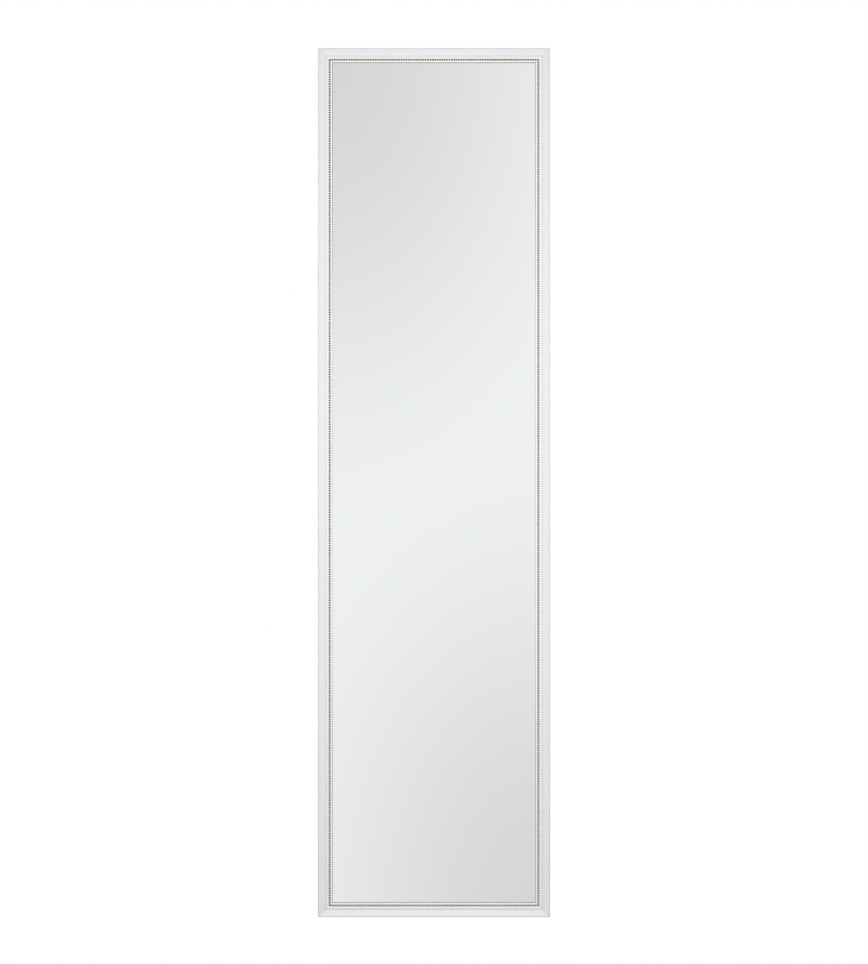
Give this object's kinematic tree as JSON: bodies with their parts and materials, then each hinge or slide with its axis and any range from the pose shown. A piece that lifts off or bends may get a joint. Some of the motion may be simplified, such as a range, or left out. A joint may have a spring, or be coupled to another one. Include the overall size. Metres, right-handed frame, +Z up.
{
  "type": "over the door mirror",
  "caption": "Tall framed mirror that hangs over a door on height-adjustable strap hooks; white mitred moulding with an inlaid bead trim.",
  "frame": {"origin": "on the back face of the top rail, at mid width, at the height of the hook screws", "axes": "+X to the right seen from the front, +Y from the mirror towards the door, +Z up; the glass faces -Y"},
  "size_m": [0.334, 0.0689, 1.2516],
  "materials": {
    "white_moulding": "satin white moulded polystyrene",
    "bead_trim": "white beads in a brown-washed channel",
    "silvered_glass": "silvered float glass",
    "hardboard": "smooth brown hardboard",
    "zinc_steel": "zinc-plated spring steel",
    "bumper_rubber": "dark moulded rubber",
    "hook_steel": "white powder-coated steel strap",
    "screw_steel": "zinc-plated steel",
    "pad_foam": "white closed-cell foam"
  },
  "bodies": {
    "mirror": {"frame_rail_top": "white_moulding", "frame_rail_bottom": "white_moulding", "frame_stile_left": "white_moulding", "frame_stile_right": "white_moulding", "bead_trim_top": "bead_trim", "bead_trim_bottom": "bead_trim", "bead_trim_left": "bead_trim", "bead_trim_right": "bead_trim", "mirror_glass": "silvered_glass", "backing_board": "hardboard", "retaining_points_top": "zinc_steel", "retaining_points_bottom": "zinc_steel", "retaining_points_left": "zinc_steel", "retaining_points_right": "zinc_steel", "corner_v_nails": "zinc_steel", "door_bumpers": "bumper_rubber", "hook_screws_left": "screw_steel", "hook_screws_right": "screw_steel"},
    "left_hook": {"door_hook_left": "hook_steel", "hook_top_pad_left": "pad_foam", "hook_lip_pad_left": "pad_foam", "hook_leg_pad_left": "pad_foam"},
    "right_hook": {"door_hook_right": "hook_steel", "hook_top_pad_right": "pad_foam", "hook_lip_pad_right": "pad_foam", "hook_leg_pad_right": "pad_foam"}
  },
  "joints": [
    {"name": "left_hook_height", "type": "slide", "parent": "mirror", "child": "left_hook", "axis": [0, 0, 1], "range_m": [0, 0.06]},
    {"name": "right_hook_height", "type": "slide", "parent": "mirror", "child": "right_hook", "axis": [0, 0, 1], "range_m": [0, 0.06]}
  ]
}
